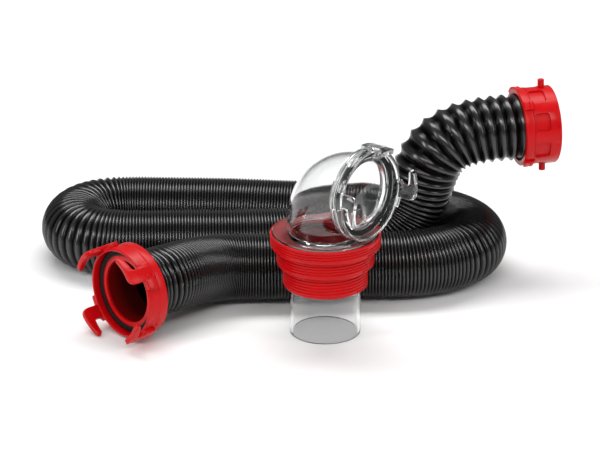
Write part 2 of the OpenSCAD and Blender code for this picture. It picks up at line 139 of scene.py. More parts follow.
def ribbed_tube(name, line, crest, valley, inner, sides, pitch_at):
    """A tube with one helical rib, and a smooth inner wall, closed at both ends."""
    along, tangent, side = carried_frames(line)
    other = np.cross(tangent, side)
    pitch = pitch_at(along, tangent)
    turns = np.concatenate([[0], np.cumsum(np.diff(along) * 2 / (pitch[1:] + pitch[:-1]))])
    rows = (int(turns[-1]) + 3) * RIB_STEPS
    whole, part = np.divmod(np.arange(rows), RIB_STEPS)
    phase = (whole - 1 + part / RIB_STEPS)[:, None] + np.arange(sides)[None] / sides
    s = np.interp(np.clip(phase, 0, turns[-1]), turns, along)
    open_share = opened_share(np.interp(s, along, pitch))
    closed_shape, open_shape = CLOSED_SHAPE[part][:, None], OPEN_SHAPE[part][:, None]
    shape = closed_shape + (open_shape - closed_shape) * open_share
    depth = crest - valley + (PLEAT_DEPTH - crest + valley) * open_share
    radius = crest - depth * (1 - shape)
    ends = (phase <= 0) | (phase >= turns[-1])
    radius = np.where(ends, valley, radius)
    angle = 2 * pi * np.arange(sides)[None] / sides + 0 * s

    def around(at, angle, radius):
        pick = lambda a: np.stack([np.interp(at, along, a[:, k]) for k in range(3)], -1)
        ring = pick(side) * np.cos(angle)[..., None] + pick(other) * np.sin(angle)[..., None]
        ring /= np.linalg.norm(ring, axis=-1)[..., None]
        return pick(line) + ring * np.asarray(radius)[..., None]

    outer = around(s, angle, radius).reshape(-1, 3)
    faces = []
    for row in range(rows - 1):
        for k in range(sides):
            a, b = row * sides + k, (row + 1) * sides + k
            if k + 1 < sides:
                faces.append((a, a + 1, b + 1, b))
            elif row + 1 + RIB_STEPS < rows:
                turn = (RIB_STEPS - 1) * sides
                faces.append((a, a + 1 + turn, b + 1 + turn, b))
    at = np.linspace(0, along[-1], WALL_ROWS)[:, None] + np.zeros((1, sides))
    wall_angle = 2 * pi * np.arange(sides)[None] / sides + 0 * at
    wall_open = opened_share(np.interp(at, along, pitch))
    inner_r = inner + (crest - PLEAT_DEPTH - WALL_UNDER - inner) * wall_open
    wall = around(at, wall_angle, inner_r).reshape(-1, 3)
    base = len(outer)
    for row in range(WALL_ROWS - 1):
        for k in range(sides):
            a = base + row * sides + k
            n = base + row * sides + (k + 1) % sides
            faces.append((a, a + sides, n + sides, n))
    last = base + (WALL_ROWS - 1) * sides
    top = (rows - 1) * sides
    for k in range(sides):
        n = (k + 1) % sides
        faces.append((k, base + k, base + n, n))
        faces.append((top + k, top + n, last + n, last + k))
    mesh = bpy.data.meshes.new(name)
    mesh.from_pydata(np.vstack([outer, wall]).tolist(), [], faces)
    lift = np.concatenate([(shape + 0 * s).ravel(), np.zeros(len(wall))])
    mesh.attributes.new("crest", "FLOAT", "POINT").data.foreach_set("value", lift)
    piece = bpy.data.objects.new(name, mesh)
    bpy.context.scene.collection.objects.link(piece)
    return piece, along


def weld(piece, distance=1e-6):
    """Merges doubles and turns the faces outwards."""
    bpy.ops.object.select_all(action="DESELECT")
    bpy.context.view_layer.objects.active = piece
    piece.select_set(True)
    bpy.ops.object.mode_set(mode="EDIT")
    bpy.ops.mesh.select_all(action="SELECT")
    bpy.ops.mesh.remove_doubles(threshold=distance)
    bpy.ops.mesh.dissolve_degenerate(threshold=1e-7)
    bpy.ops.mesh.normals_make_consistent(inside=False)
    bpy.ops.object.mode_set(mode="OBJECT")


def finish_of(name, colour, roughness, **shader):
    """A new material with its shader set, and its nodes and links to add to."""
    material = bpy.data.materials.new(name)
    material.use_nodes = True
    nodes, links = material.node_tree.nodes, material.node_tree.links
    surface = nodes["Principled BSDF"]
    surface.inputs["Base Color"].default_value = (*colour, 1)
    surface.inputs["Roughness"].default_value = roughness
    for socket, value in shader.items():
        surface.inputs[socket.replace("_", " ")].default_value = value
    return material, nodes, links, surface


def noise(nodes, links, scale, detail=3.0):
    """Noise on the piece's own coordinates."""
    place = nodes.new("ShaderNodeTexCoord")
    grain = nodes.new("ShaderNodeTexNoise")
    grain.inputs["Scale"].default_value = scale
    grain.inputs["Detail"].default_value = detail
    links.new(place.outputs["Object"], grain.inputs["Vector"])
    return grain


def spread(nodes, links, source, low, high, socket):
    """Maps a noise to a range of values on a socket."""
    ramp = nodes.new("ShaderNodeMapRange")
    ramp.inputs["From Min"].default_value = 0.3
    ramp.inputs["From Max"].default_value = 0.7
    ramp.inputs["To Min"].default_value = low
    ramp.inputs["To Max"].default_value = high
    links.new(source.outputs["Fac"], ramp.inputs["Value"])
    links.new(ramp.outputs["Result"], socket)


def mottle(nodes, links, source, dark, pale, socket):
    """Mixes two colours by a noise, or by a value that the piece carries."""
    ramp = nodes.new("ShaderNodeValToRGB")
    ramp.color_ramp.elements[0].position = 0.35
    ramp.color_ramp.elements[0].color = (*dark, 1)
    ramp.color_ramp.elements[1].position = 0.70
    ramp.color_ramp.elements[1].color = (*pale, 1)
    links.new(source.outputs["Fac"], ramp.inputs["Fac"])
    links.new(ramp.outputs["Color"], socket)


def relief(nodes, links, source, surface, strength, distance):
    """Fine bumps from a noise."""
    bump = nodes.new("ShaderNodeBump")
    bump.inputs["Strength"].default_value = strength
    bump.inputs["Distance"].default_value = distance
    links.new(source.outputs["Fac"], bump.inputs["Height"])
    links.new(bump.outputs["Normal"], surface.inputs["Normal"])


black_vinyl, nodes, links, surface = finish_of("black_vinyl", (0.006, 0.006, 0.006), 0.32)
scuffs = noise(nodes, links, 45)
spread(nodes, links, scuffs, 0.19, 0.29, surface.inputs["Roughness"])
relief(nodes, links, noise(nodes, links, 420, 2), surface, 0.10, 0.0004)
# The base colour follows the crest value: lighter on the crests as painted highlight, and near
# black in the valleys as painted shade. The specular level follows the same value, with little in
# the valleys.
height = nodes.new("ShaderNodeAttribute")
height.attribute_name = "crest"
painted_rib_shading = nodes.new("ShaderNodeValToRGB")
painted_rib_shading.color_ramp.elements[0].position = 0.15
painted_rib_shading.color_ramp.elements[0].color = (0.0005, 0.0005, 0.0005, 1)
painted_rib_shading.color_ramp.elements[1].position = 0.95
painted_rib_shading.color_ramp.elements[1].color = (0.009, 0.0088, 0.0088, 1)
links.new(height.outputs["Fac"], painted_rib_shading.inputs["Fac"])
links.new(painted_rib_shading.outputs["Color"], surface.inputs["Base Color"])
shine = nodes.new("ShaderNodeMapRange")
shine.inputs["From Min"].default_value = 0.1
shine.inputs["From Max"].default_value = 0.8
shine.inputs["To Min"].default_value = 0.03
shine.inputs["To Max"].default_value = 0.75
links.new(height.outputs["Fac"], shine.inputs["Value"])
links.new(shine.outputs["Result"], surface.inputs["Specular IOR Level"])

hose_start = INLET_AT - heading(INLET_YAW) * INLET_HOSE_END
outlet_axis = heading(OUTLET_YAW, OUTLET_PITCH)
hose_stop = OUTLET_AT - outlet_axis * OUTLET_HOSE_END
hose_points = ([hose_start, hose_start - heading(INLET_YAW) * END_LEG]
               + HOSE_ROUTE + [hose_stop - outlet_axis * END_LEG, hose_stop])
hose_line = spline(hose_points, LEG_STEPS)
CREST, VALLEY, HOSE_INNER = 0.0372, 0.0352, 0.0349
hose, hose_along = ribbed_tube(
    "ribbed_hose", hose_line, CREST, VALLEY, HOSE_INNER, HOSE_SIDES,
    lambda along, tangent: rib_pitch(along, tangent, CREST, CLOSED_PITCH, SHUT_PITCH,
                                     PULLED_OPEN))
weld(hose)
bpy.ops.object.shade_smooth()
hose.data.materials.append(black_vinyl)
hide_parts("hose")
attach(hose, "hose_run")


# ---------------------------------------------------------------------------
# Swivel seat on the hose end. A red sleeve is screwed over the ribs, with a
# lining inside the hose whose red is painted dark with shade, and its flange carries the ring that
# turns on it.
# ---------------------------------------------------------------------------
MM = 0.001
BORE_R, SEAT_R, FLANGE_R, SOCKET_R, RING_R, HOOK_R = 34.6, 41.0, 45.2, 46.3, 49.3, 54.0
GASKET_S, FLANGE_S, FLANGE_T = 8.4, 10.4, 1.5
WEB_S, WEB_T, SNAP_S, SNAP_T, GROOVE = 12.2, 2.0, 14.5, 1.5, 0.8
LIP_END_S = 12.3


def on_bench(name, operator, **settings):
    """Adds a primitive with nothing else selected, and opens it in edit mode."""
    bpy.ops.object.select_all(action="DESELECT")
    operator(**settings)
    piece = bpy.context.object
    piece.name = name
    bpy.ops.object.mode_set(mode="EDIT")
    return piece


def drawn(name, points):
    """Draws a closed outline of (x, z) points, in millimetres, with its edges selected."""
    piece = on_bench(name, bpy.ops.mesh.primitive_plane_add, size=0.001)
    bpy.ops.mesh.merge(type="CENTER")
    bpy.ops.transform.translate(value=(points[0][0] * MM, 0, points[0][1] * MM))
    for (x0, z0), (x1, z1) in zip(points, points[1:] + points[:1]):
        step = ((x1 - x0) * MM, 0, (z1 - z0) * MM)
        bpy.ops.mesh.extrude_region_move(TRANSFORM_OT_translate={"value": step})
    bpy.ops.mesh.select_all(action="SELECT")
    bpy.ops.mesh.remove_doubles(threshold=1e-6)
    return piece


def turned(name, outline, steps=96):
    """Turns a closed outline of (radius, height) once round the Z axis."""
    piece = drawn(name, outline)
    bpy.ops.mesh.spin(steps=steps, angle=2 * pi, center=(0, 0, 0), axis=(0, 0, 1))
    bpy.ops.mesh.select_all(action="SELECT")
    bpy.ops.mesh.remove_doubles(threshold=1e-6)
    bpy.ops.mesh.normals_make_consistent(inside=False)
    bpy.ops.object.mode_set(mode="OBJECT")
    return piece


def apply_modifier(piece, kind, **settings):
    """Adds a modifier, sets it and applies it."""
    bpy.ops.object.select_all(action="DESELECT")
    bpy.context.view_layer.objects.active = piece
    piece.select_set(True)
    modifier = piece.modifiers.new(kind.lower(), kind)
    for setting, value in settings.items():
        setattr(modifier, setting, value)
    bpy.ops.object.modifier_apply(modifier=modifier.name)


def softened(piece, width, segments=2, angle=32):
    """Rounds the edges that are sharper than the angle."""
    apply_modifier(piece, "BEVEL", width=width * MM, segments=segments, limit_method="ANGLE",
                   angle_limit=radians(angle), use_clamp_overlap=True)


def joined(first, *others):
    """Joins pieces into the first one."""
    bpy.ops.object.select_all(action="DESELECT")
    for piece in (first, *others):
        piece.select_set(True)
    bpy.context.view_layer.objects.active = first
    bpy.ops.object.join()
    return first


def copied(piece, matrix):
    """A copy with its own mesh, moved by the matrix."""
    twin = piece.copy()
    twin.data = piece.data.copy()
    twin.data.transform(matrix)
    bpy.context.scene.collection.objects.link(twin)
    return twin


def combined(piece, operation, tool):
    """Adds, cuts or keeps the overlap with a tool piece, which is used up."""
    apply_modifier(piece, "BOOLEAN", operation=operation, object=tool, solver="EXACT")
    bpy.data.objects.remove(tool)


def stood(at, yaw, pitch=0):
    """The matrix that puts a fitting, drawn facing +Z with +Y as its top, in its place."""
    return (Matrix.Translation(at) @ Matrix.Rotation(radians(yaw + 90), 4, "Z")
            @ Matrix.Rotation(radians(90 - pitch), 4, "X"))


def fitted(piece, matrix, material, body, slot, *nodes, angle=32):
    """Puts a finished piece in its place on its body, in the stead of its CAD nodes."""
    bpy.ops.object.select_all(action="DESELECT")
    bpy.context.view_layer.objects.active = piece
    piece.select_set(True)
    bpy.ops.object.shade_smooth_by_angle(angle=radians(angle))
    piece.data.transform(matrix)
    piece.data.materials.clear()
    piece.data.materials.append(material)
    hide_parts(*nodes)
    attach(piece, body)


def seat_outline(inner, end):
    """Section of a swivel seat from its front lip back, with the snap ring's groove."""
    return [(BORE_R, -GASKET_S), (SEAT_R, -GASKET_S), (SEAT_R, -FLANGE_S),
            (FLANGE_R, -FLANGE_S), (FLANGE_R, -FLANGE_S - FLANGE_T), (SEAT_R, -FLANGE_S - FLANGE_T),
            (SEAT_R, -SNAP_S), (SEAT_R - GROOVE, -SNAP_S), (SEAT_R - GROOVE, -SNAP_S - SNAP_T),
            (SEAT_R, -SNAP_S - SNAP_T), (SEAT_R, -end), (inner, -end), (inner, -LIP_END_S),
            (BORE_R, -LIP_END_S)]


red_plastic, nodes, links, surface = finish_of(
    "red_plastic", (0.52, 0.002, 0.004), 0.30, Specular_IOR_Level=0.2)
cloud = noise(nodes, links, 28)
mottle(nodes, links, cloud, (0.48, 0.001, 0.003), (0.54, 0.002, 0.004),
       surface.inputs["Base Color"])
spread(nodes, links, cloud, 0.24, 0.38, surface.inputs["Roughness"])
relief(nodes, links, noise(nodes, links, 900, 2), surface, 0.08, 0.0002)

inlet_place = stood(INLET_AT, INLET_YAW)
SOCKET_HOSE_R, INLET_SLEEVE_END = 37.3, 23.8
LINING_R, LINING_T, LINING_S = 34.75, 0.35, LIP_END_S - 1
LINING_TAPER, LINING_END, LINING_END_R = 24.0, 44.0, 31.2
inlet_sleeve = turned("inlet_sleeve_moulded", seat_outline(SOCKET_HOSE_R, INLET_SLEEVE_END))
softened(inlet_sleeve, 0.3)
fitted(inlet_sleeve, inlet_place, red_plastic, "hose_run", "red_plastic", "inlet_sleeve")

# The lining's red is a darker copy of the red plastic, painted in shade, and the depth value paints
# it darker still further into the hose.
painted_shade_red_plastic, nodes, links, surface = finish_of(
    "painted_shade_red_plastic", (0.10, 0.001, 0.002), 0.5, Specular_IOR_Level=0.15)
inward = nodes.new("ShaderNodeAttribute")
inward.attribute_name = "depth"
mottle(nodes, links, inward, (0.14, 0.001, 0.001), (0.04, 0.0, 0.0),
       surface.inputs["Base Color"])
relief(nodes, links, noise(nodes, links, 700, 2), surface, 0.08, 0.0002)
lining = turned("sleeve_lining", [
    (LINING_R - LINING_T, -LINING_S), (LINING_R, -LINING_S),
    (LINING_R, -LINING_TAPER), (LINING_END_R, -LINING_END),
    (LINING_END_R - LINING_T, -LINING_END), (LINING_R - LINING_T, -LINING_TAPER)])
depth = [-spot.co.z / (LINING_END * MM) for spot in lining.data.vertices]
lining.data.attributes.new("depth", "FLOAT", "POINT").data.foreach_set("value", depth)
fitted(lining, inlet_place, painted_shade_red_plastic, "hose_run", "red_plastic")

# ---------------------------------------------------------------------------
# Gaskets. Each swivel ring holds a black rubber washer against its seat. Its
# face laps over the lip, and a groove runs round it to seal on the next fitting.
# ---------------------------------------------------------------------------
black_rubber, nodes, links, surface = finish_of(
    "black_rubber", (0.005, 0.006, 0.006), 0.55, Specular_IOR_Level=0.2)
bloom = noise(nodes, links, 60)
mottle(nodes, links, bloom, (0.003, 0.004, 0.004), (0.008, 0.009, 0.009),
       surface.inputs["Base Color"])
spread(nodes, links, bloom, 0.42, 0.62, surface.inputs["Roughness"])
relief(nodes, links, noise(nodes, links, 1500, 2), surface, 0.15, 0.0002)


GASKET_GAP, GASKET_LAP, GASKET_PROUD = 0.05, 1.6, 0.9
FACE_GROOVE_DEPTH, GROOVE_MOUTH, GROOVE_FOOT = 0.6, 0.7, 0.35


def face_gasket(name):
    """A washer with a groove round its face."""
    inside, outside, back = SEAT_R + GASKET_GAP, FLANGE_R, -FLANGE_S + GASKET_GAP
    inner_edge, face = SEAT_R - GASKET_LAP, -GASKET_S + GASKET_PROUD
    under = -GASKET_S + GASKET_GAP
    middle = (inner_edge + outside) / 2
    piece = turned(name, [
        (inside, back), (outside, back), (outside, face), (middle + GROOVE_MOUTH, face),
        (middle + GROOVE_FOOT, face - FACE_GROOVE_DEPTH),
        (middle - GROOVE_FOOT, face - FACE_GROOVE_DEPTH), (middle - GROOVE_MOUTH, face),
        (inner_edge, face), (inner_edge, under), (inside, under)])
    softened(piece, 0.25)
    return piece


fitted(face_gasket("inlet_washer"), inlet_place, black_rubber,
       "hose_run", "gasket_rubber", "inlet_gasket")

# ---------------------------------------------------------------------------
# Hooked swivel ring. One red moulding: a ring with a socket in front, and
# four hooks round its rim that draw the pins of the next fitting in.
# ---------------------------------------------------------------------------
RING_PLAY, RELIEF, EDGE = 0.4, 1.0, 0.8
INLET_RING_LEN, REAR_BAND_S, REAR_BAND_H = 25.0, 14.0, 0.7
HOOK_REACH, HOOK_SLOT, ARM_SLOPE = 20.0, 10.5, 2.1
HEEL_X, HEEL_IN, TIP_X = -17.0, -2.0, 18.0
HEEL_ROUND, TIP_ROUND, SLOT_ROUND = 8.0, 3.1, 3.0
PAD_LEN, PAD_BACK, PAD_ROUND, ARM_FOOT = 10.5, 13.0, 2.0, 0.8
HOOK_SINK, BEND_CUTS = 0.5, range(-26, 18, 2)
RELIEF_LEAD = GASKET_S - 0.6


def hooked_ring(name, length, band):
    """The ring alone: socket, web that rides on the seat, and a rear part raised by the band."""
    step = min(REAR_BAND_S, length - EDGE)
    return turned(name, [
        (SOCKET_R, -EDGE / 2), (SOCKET_R + EDGE / 2, 0), (RING_R - EDGE, 0), (RING_R, -EDGE),
        (RING_R, -step), (RING_R + band, -step - band), (RING_R + band, -length + EDGE),
        (RING_R + band - EDGE, -length), (SOCKET_R + RELIEF, -length),
        (SOCKET_R + RELIEF, -WEB_S - WEB_T),
        (SEAT_R + RING_PLAY, -WEB_S - WEB_T), (SEAT_R + RING_PLAY, -WEB_S),
        (SOCKET_R + RELIEF, -WEB_S), (SOCKET_R + RELIEF, -RELIEF_LEAD),
        (SOCKET_R, -RELIEF_LEAD)], steps=128)


def arc(x, y, radius, start, stop, steps):
    """Points of an arc round (x, y), with its angles in degrees."""
    turn = [radians(start + (stop - start) * k / steps) for k in range(steps + 1)]
    return [(x + radius * cos(a), y + radius * sin(a)) for a in turn]


def hook():
    """One hook, drawn flat, given its thickness, rounded, and bent round the ring."""
    inner, middle_r = RING_R - HOOK_SINK, (RING_R + HOOK_R) / 2
    arm_foot = HEEL_IN + SLOT_ROUND + ARM_FOOT
    outline = (
        [(HEEL_X - PAD_LEN, -PAD_BACK)]
        + arc(HEEL_X - PAD_LEN + PAD_ROUND, -PAD_ROUND, PAD_ROUND, 180, 90, 4)
        + [(HEEL_X - 1, 0), (HEEL_X, 1)]
        + arc(HEEL_X + HEEL_ROUND, HOOK_REACH - HEEL_ROUND, HEEL_ROUND, 180, 90, 8)
        + arc(TIP_X - TIP_ROUND, HOOK_SLOT + ARM_SLOPE + TIP_ROUND, TIP_ROUND, 90, -90, 10)
        + arc(HEEL_IN + SLOT_ROUND, HOOK_SLOT - SLOT_ROUND, SLOT_ROUND, 90, 180, 5)
        + arc(HEEL_IN + SLOT_ROUND, SLOT_ROUND, SLOT_ROUND, 180, 270, 5)
        + [(arm_foot, 0), (arm_foot, -PAD_BACK)])
    piece = drawn("hook", outline)
    bpy.ops.mesh.edge_face_add()
    bpy.ops.mesh.extrude_region_move(
        TRANSFORM_OT_translate={"value": (0, (HOOK_R - inner) * MM, 0)})
    bpy.ops.mesh.select_all(action="SELECT")
    bpy.ops.mesh.normals_make_consistent(inside=False)
    bpy.ops.object.mode_set(mode="OBJECT")
    softened(piece, 0.7, segments=3, angle=50)
    bpy.ops.object.mode_set(mode="EDIT")
    for x in BEND_CUTS:
        bpy.ops.mesh.select_all(action="SELECT")
        bpy.ops.mesh.bisect(plane_co=(x * MM, 0, 0), plane_no=(1, 0, 0))
    bpy.ops.object.mode_set(mode="OBJECT")
    for vertex in piece.data.vertices:
        along, out, up = vertex.co
        turn, radius = along / (middle_r * MM), inner * MM + out
        vertex.co = (radius * cos(turn), radius * sin(turn), up)
    return piece


def ring_with_hooks(name, length, band, turns):
    """A hooked ring as one moulding, with a hook at each of the turns."""
    ring = hooked_ring(name, length, band)
    softened(ring, 0.25)
    first = hook()
    copies = [copied(first, Matrix.Rotation(radians(turn), 4, "Z")) for turn in turns]
    bpy.data.objects.remove(first)
    combined(ring, "UNION", joined(*copies))
    return ring


INLET_HOOK_TURNS = [51.5, 141.5, 231.5, 321.5]
inlet_ring = ring_with_hooks("inlet_ring_moulded", INLET_RING_LEN, REAR_BAND_H,
                             INLET_HOOK_TURNS)
fitted(inlet_ring, inlet_place, red_plastic, "inlet_swivel", "red_plastic",
       "inlet_ring", "inlet_hooks")

# ---------------------------------------------------------------------------
# Sleeve of the pinned fitting. Red, screwed over the other end of the hose;
# its front nose is what shows inside the collar.
# ---------------------------------------------------------------------------
outlet_place = stood(OUTLET_AT, OUTLET_YAW, OUTLET_PITCH)
NOSE_R, OUTLET_SEAT_R, COLLAR_R = 37.6, 40.2, 43.5
COLLAR_LEN, COLLAR_NOSE, BAND_LEN, BAND_LIP_T, BAND_STEP = 40.4, 11.7, 10.0, 2.0, 1.0
PLAY, SHOULDER_T = 0.3, 2.8
OUTLET_SHOULDER = COLLAR_NOSE + PLAY + SHOULDER_T
SLEEVE_END = COLLAR_LEN - BAND_LIP_T - PLAY
outlet_sleeve = turned("outlet_sleeve_moulded", [
    (BORE_R, 0), (NOSE_R - EDGE, 0), (NOSE_R, -EDGE), (NOSE_R, -COLLAR_NOSE - PLAY),
    (OUTLET_SEAT_R, -COLLAR_NOSE - PLAY), (OUTLET_SEAT_R, -SLEEVE_END),
    (SOCKET_HOSE_R, -SLEEVE_END), (SOCKET_HOSE_R, -OUTLET_SHOULDER), (BORE_R, -OUTLET_SHOULDER)])
softened(outlet_sleeve, 0.3)
fitted(outlet_sleeve, outlet_place, red_plastic, "hose_run", "red_plastic", "outlet_sleeve")

# ---------------------------------------------------------------------------
# Pinned collar. A red moulding that turns on the sleeve, with grip pockets
# moulded in its side and two pins that lock in the hooks of the next fitting.
# ---------------------------------------------------------------------------
POCKETS, POCKET_TURN, POCKET_ANGLE, POCKET_FRONT, POCKET_DEPTH = 8, 21, 27, 12.4, 2.2
POCKET_ROUND, SHELL_OVERLAP, FRONT_T = 3.6, 0.1, 2.0
BODY_END = COLLAR_LEN - BAND_LEN
FLOOR_R = COLLAR_R - POCKET_DEPTH
nose_bore, seat_bore = NOSE_R + RING_PLAY, OUTLET_SEAT_R + RING_PLAY
core = turned("core", [
    (nose_bore, -EDGE), (FLOOR_R, -EDGE), (FLOOR_R, -BODY_END), (COLLAR_R - BAND_STEP, -BODY_END),
    (COLLAR_R - BAND_STEP, -SLEEVE_END), (seat_bore, -SLEEVE_END), (seat_bore, -COLLAR_NOSE),
    (nose_bore, -COLLAR_NOSE)])
collar = turned("pinned_collar", [
    (nose_bore, -EDGE / 2), (nose_bore + EDGE / 2, 0), (COLLAR_R - EDGE, 0), (COLLAR_R, -EDGE),
    (COLLAR_R, -BODY_END), (FLOOR_R - SHELL_OVERLAP, -BODY_END),
    (FLOOR_R - SHELL_OVERLAP, -EDGE - FRONT_T), (nose_bore, -EDGE - FRONT_T)], steps=128)
pocket_w = 2 * COLLAR_R * sin(radians(POCKET_ANGLE / 2))
pocket_len = BODY_END - EDGE - POCKET_FRONT
pocket = on_bench("pocket", bpy.ops.mesh.primitive_cube_add, size=MM)
bpy.ops.transform.resize(value=(10, pocket_w, pocket_len))
bpy.ops.mesh.select_all(action="DESELECT")
bpy.ops.object.mode_set(mode="OBJECT")
for edge in pocket.data.edges:
    ends = [pocket.data.vertices[v].co for v in edge.vertices]
    edge.select = abs(ends[0].x - ends[1].x) > MM
bpy.ops.object.mode_set(mode="EDIT")
bpy.ops.mesh.bevel(offset=POCKET_ROUND * MM, segments=6)
bpy.ops.object.mode_set(mode="OBJECT")
pocket.data.transform(Matrix.Translation(
    Vector((COLLAR_R, 0, -POCKET_FRONT - pocket_len / 2)) * MM))
cutters = [copied(pocket, Matrix.Rotation(radians(POCKET_TURN + 360 / POCKETS * k), 4, "Z"))
           for k in range(POCKETS)]
bpy.data.objects.remove(pocket)
combined(collar, "DIFFERENCE", joined(*cutters))
softened(collar, 0.35, segments=3)
joined(collar, core)
fitted(collar, outlet_place, red_plastic, "outlet_swivel", "red_plastic", "lug_collar")

PIN_R, PIN_BACK, PIN_TIP_R, PIN_TURN, PIN_SINK = 3.7, 11.5, RING_R + 3.5, 86, 0.6
pin_h = PIN_TIP_R - COLLAR_R + PIN_SINK
pin = on_bench("locking_pin", bpy.ops.mesh.primitive_cylinder_add, vertices=40,
               radius=PIN_R * MM, depth=pin_h * MM)
bpy.ops.object.mode_set(mode="OBJECT")
softened(pin, 0.8, segments=4, angle=50)
pin.data.transform(Matrix.Translation(Vector((PIN_TIP_R - pin_h / 2, 0, -PIN_BACK)) * MM)
                   @ Matrix.Rotation(radians(90), 4, "Y"))
pins = joined(*[copied(pin, Matrix.Rotation(radians(PIN_TURN + side), 4, "Z"))
                for side in (0, 180)])
bpy.data.objects.remove(pin)
pins.name = "locking_pins"
fitted(pins, outlet_place, red_plastic, "outlet_swivel", "red_plastic", "lug_pins")

# ---------------------------------------------------------------------------
# Rear band. It snaps over the back of the collar so that the sleeve can't
# pull out, and four raised tabs hold its seam.
# ---------------------------------------------------------------------------
BAND_GAP, BAND_FRONT, BAND_BORE = 0.05, BODY_END + 0.4, SOCKET_HOSE_R + 0.5
BAND_R = COLLAR_R - BAND_STEP + BAND_GAP
band = turned("rear_band", [
    (BAND_R, -BAND_FRONT), (COLLAR_R, -BAND_FRONT), (COLLAR_R, -COLLAR_LEN + EDGE),
    (COLLAR_R - EDGE, -COLLAR_LEN), (BAND_BORE, -COLLAR_LEN),
    (BAND_BORE, -COLLAR_LEN + BAND_LIP_T), (BAND_R, -COLLAR_LEN + BAND_LIP_T)],
    steps=128)
softened(band, 0.2)
fitted(band, outlet_place, red_plastic, "outlet_swivel", "red_plastic", "collar_band")

TAB_TURNS, TAB_ANGLE, TAB_H, TAB_LAP, TAB_SINK = [48, 130, 228, 310], 13, 3.3, 1.8, 0.2
TAB_RAMP, TAB_NOTCH, TAB_NOTCH_W, TAB_ROUND = 2.0, 5.2, 0.6, 1.0
tab_front, tab_back, tab_r = BODY_END - TAB_LAP, COLLAR_LEN, COLLAR_R + TAB_H
tab = drawn("tab", [
    (COLLAR_R - TAB_SINK, -tab_front), (COLLAR_R + TAB_H / 2, -tab_front),
    (tab_r, -tab_front - TAB_RAMP), (tab_r, -tab_front - TAB_NOTCH + TAB_NOTCH_W),
    (tab_r - TAB_ROUND, -tab_front - TAB_NOTCH), (tab_r, -tab_front - TAB_NOTCH - TAB_NOTCH_W),
    (tab_r, -tab_back + TAB_ROUND), (tab_r - TAB_ROUND, -tab_back),
    (COLLAR_R - TAB_SINK, -tab_back + EDGE)])
bpy.ops.mesh.spin(steps=6, angle=radians(TAB_ANGLE), center=(0, 0, 0), axis=(0, 0, 1))
bpy.ops.mesh.select_all(action="SELECT")
bpy.ops.mesh.remove_doubles(threshold=1e-6)
bpy.ops.mesh.fill_holes(sides=0)
bpy.ops.mesh.select_all(action="SELECT")
bpy.ops.mesh.normals_make_consistent(inside=False)
bpy.ops.object.mode_set(mode="OBJECT")
swept = max(v.co.y for v in tab.data.vertices) > MM
softened(tab, 0.35)
half = radians(-TAB_ANGLE / 2 if swept else TAB_ANGLE / 2)
tabs = joined(*[copied(tab, Matrix.Rotation(radians(turn) + half, 4, "Z")) for turn in TAB_TURNS])
bpy.data.objects.remove(tab)
tabs.name = "band_catches"
fitted(tabs, outlet_place, red_plastic, "outlet_swivel", "red_plastic", "band_tabs")

# ---------------------------------------------------------------------------
# Clear elbow. One moulding of clear plastic, so that the flow can be seen: a
# slip spigot, a neck with a wide flange, a quarter bend and a swivel seat.
# ---------------------------------------------------------------------------
ELBOW_AT, ELBOW_YAW = Vector((0.003, -0.072, 0)), -40
SPIGOT_R, NECK_R, WALL = 38.1, 39.0, 3.0
SPIGOT_STRAIGHT, SPIGOT_LEN, ADAPTER_TOP = 30.0, 54.0, 114.0
DISC_SEAT_DEPTH, WEB_THICK, TAPER_LEN, BEND_LEAD = 1.8, 3.0, 2.0, 3.0
WEB_TOP = ADAPTER_TOP - DISC_SEAT_DEPTH
DISC_Z, DISC_T, DISC_R = WEB_TOP + PLAY, 3.0, 56.8
BEND_R, AXIS_Z, BEND_BULGE = 45.0, 170.5, 2.5
BEND_Z = AXIS_Z - BEND_R
SWELL_R, SWELL_Z = NECK_R + BEND_BULGE * 0.6, (DISC_Z + DISC_T + BEND_Z) / 2
BULGE_R, SEAT_BACK, LIP_ROUND = NECK_R + BEND_BULGE, SNAP_S + SNAP_T, 0.3
ELBOW_RIM = BEND_R + 8.0 + GASKET_S
NECK_SNAP_Z = WEB_TOP - WEB_THICK - PLAY - SNAP_T
elbow_stand = Matrix.Translation(ELBOW_AT) @ Matrix.Rotation(radians(ELBOW_YAW), 4, "Z")

clear_plastic, nodes, links, surface = finish_of(
    "clear_plastic", (0.97, 0.98, 0.98), 0.03, Transmission_Weight=1.0, IOR=1.5)
relief(nodes, links, noise(nodes, links, 35, 2), surface, 0.12, 0.0006)

elbow = on_bench("clear_elbow", bpy.ops.mesh.primitive_circle_add, vertices=96,
                 radius=(SPIGOT_R - EDGE / 2) * MM, fill_type="NOTHING")
ring_at = {"centre": Vector((0, 0, 0)), "radius": SPIGOT_R - EDGE / 2}


def pull(centre, radius):
    """Pulls the selected ring on to a new centre and radius, in millimetres."""
    centre = Vector(centre)
    move = (centre - ring_at["centre"]) * MM
    bpy.ops.mesh.extrude_region_move(TRANSFORM_OT_translate={"value": tuple(move)})
    bpy.ops.transform.resize(value=(radius / ring_at["radius"],) * 3,
                             center_override=tuple(centre * MM))
    ring_at.update(centre=centre, radius=radius)


def up(height, radius):
    """Pulls the ring to a height on the upright part."""
    pull((0, 0, height), radius)


def out(back, radius):
    """Pulls the ring to a depth behind the rim of the outlet."""
    pull((ELBOW_RIM - back, 0, AXIS_Z), radius)


def round_the_bend(way):
    """Takes the selected ring round the quarter bend, outwards or back."""
    bpy.ops.mesh.spin(steps=24, angle=-way * pi / 2, center=(BEND_R * MM, 0, BEND_Z * MM),
                      axis=(0, 1, 0))
    end = (BEND_R, 0, AXIS_Z) if way > 0 else (0, 0, BEND_Z)
    ring_at["centre"] = Vector(end)


